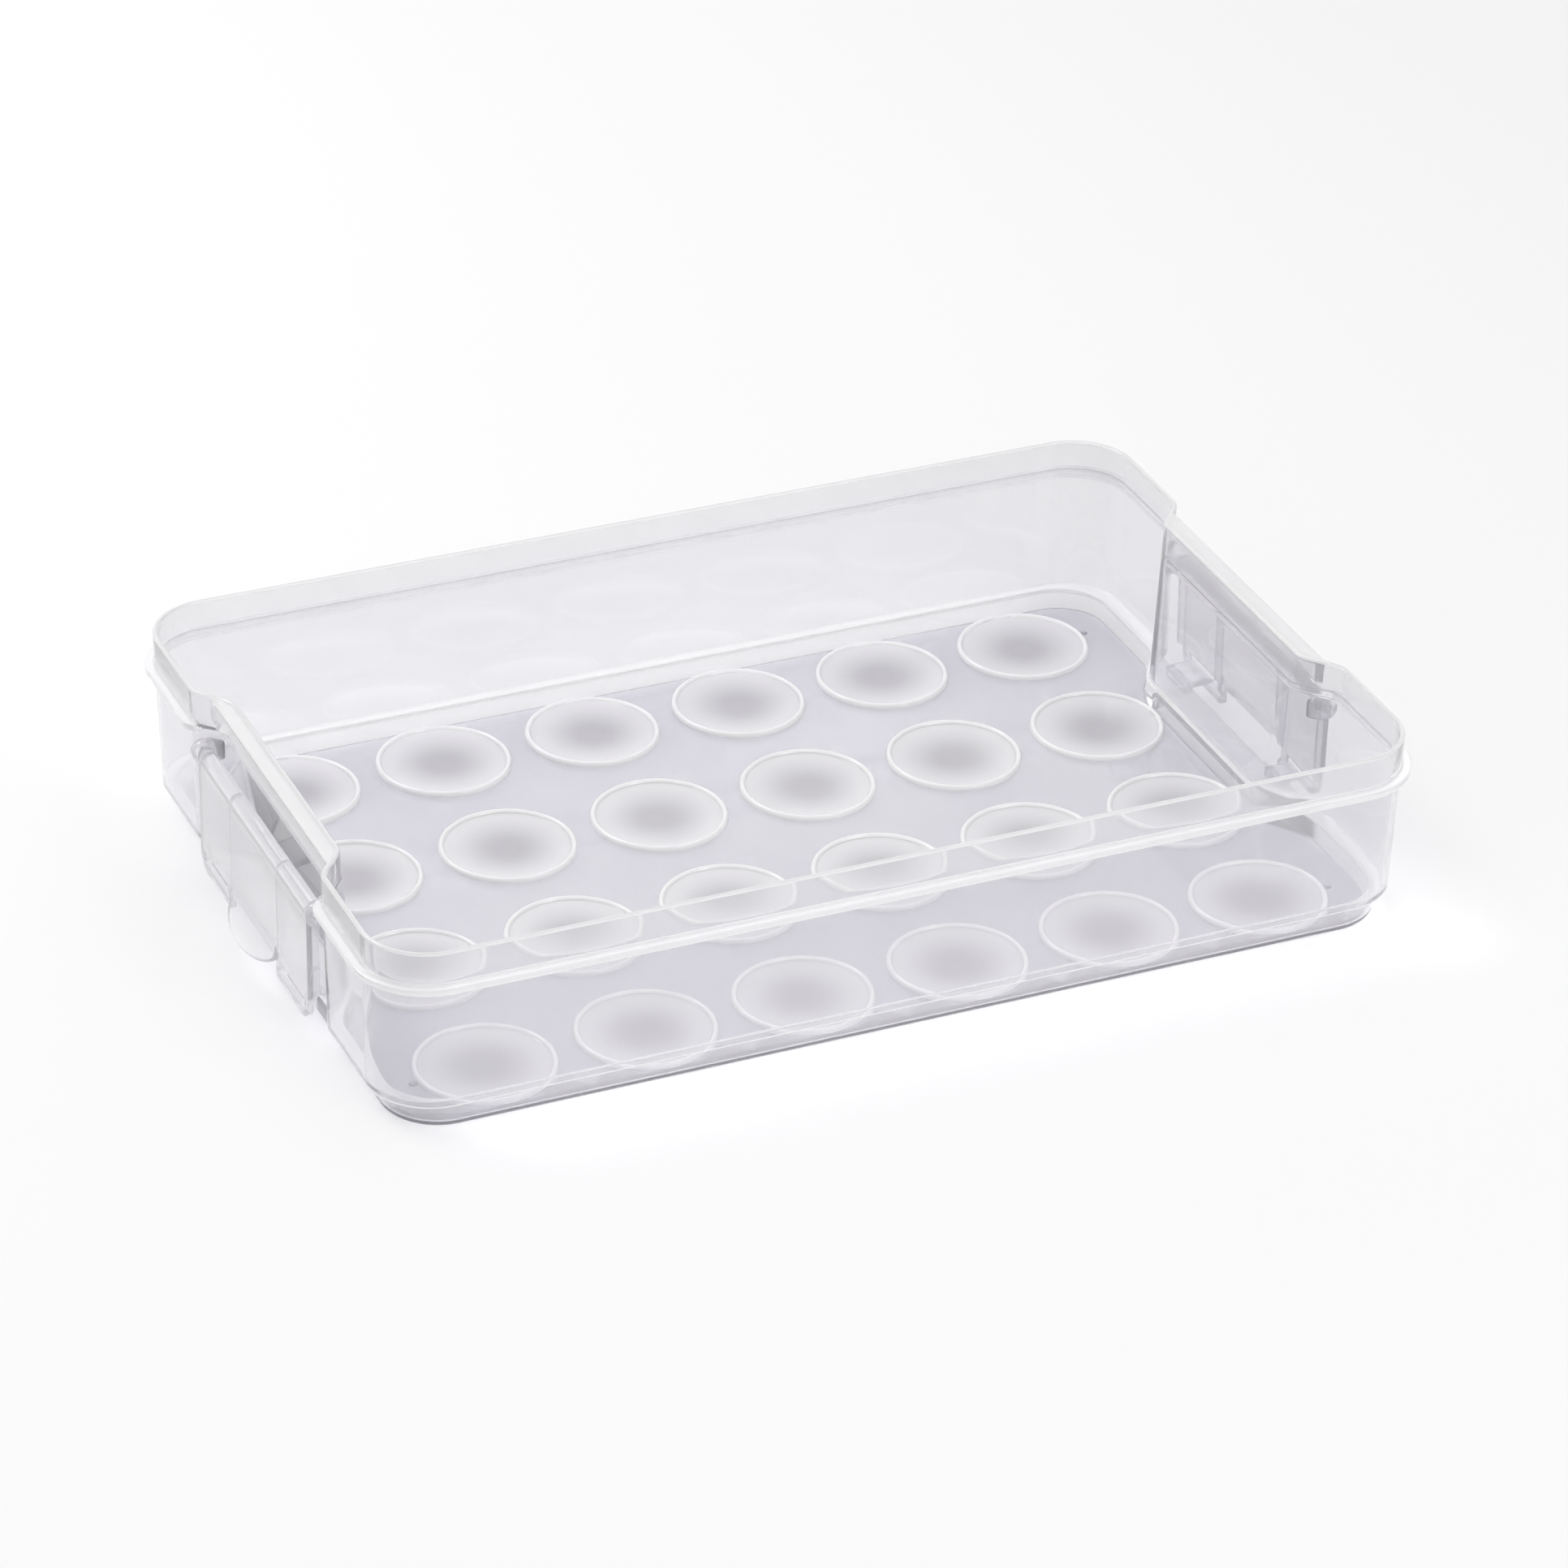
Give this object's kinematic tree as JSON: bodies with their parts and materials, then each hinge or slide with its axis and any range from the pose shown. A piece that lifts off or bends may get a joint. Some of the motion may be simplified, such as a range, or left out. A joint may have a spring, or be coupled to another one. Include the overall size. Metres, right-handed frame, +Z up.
{
  "type": "egg keeper",
  "caption": "Clear refrigerator egg tray with a collared rim, a lift-out cup insert and a hinged swing clip at each end.",
  "frame": {"origin": "centre of the underside of the foot", "axes": "+Z up, +X along the long side towards one swing clip"},
  "size_m": [0.3262, 0.2142, 0.058],
  "materials": {
    "clear_tray": "gloss",
    "frosted_insert": "satin",
    "clear_clip": "gloss"
  },
  "bodies": {
    "tray": {"tray_shell": "clear_tray"},
    "insert": {"egg_insert": "frosted_insert"},
    "clip_left": {"clip_left": "clear_clip"},
    "clip_right": {"clip_right": "clear_clip"}
  },
  "joints": [
    {"name": "insert_lift", "type": "slide", "parent": "tray", "child": "insert", "axis": [0, 0, 1], "range_m": [0, 0.07]},
    {"name": "clip_left_hinge", "type": "hinge", "parent": "tray", "child": "clip_left", "pos_m": [-0.15555, 0, 0.0413], "axis": [0, 1, 0], "range_deg": [0, 120]},
    {"name": "clip_right_hinge", "type": "hinge", "parent": "tray", "child": "clip_right", "pos_m": [0.15555, 0, 0.0413], "axis": [0, -1, 0], "range_deg": [0, 120]}
  ]
}
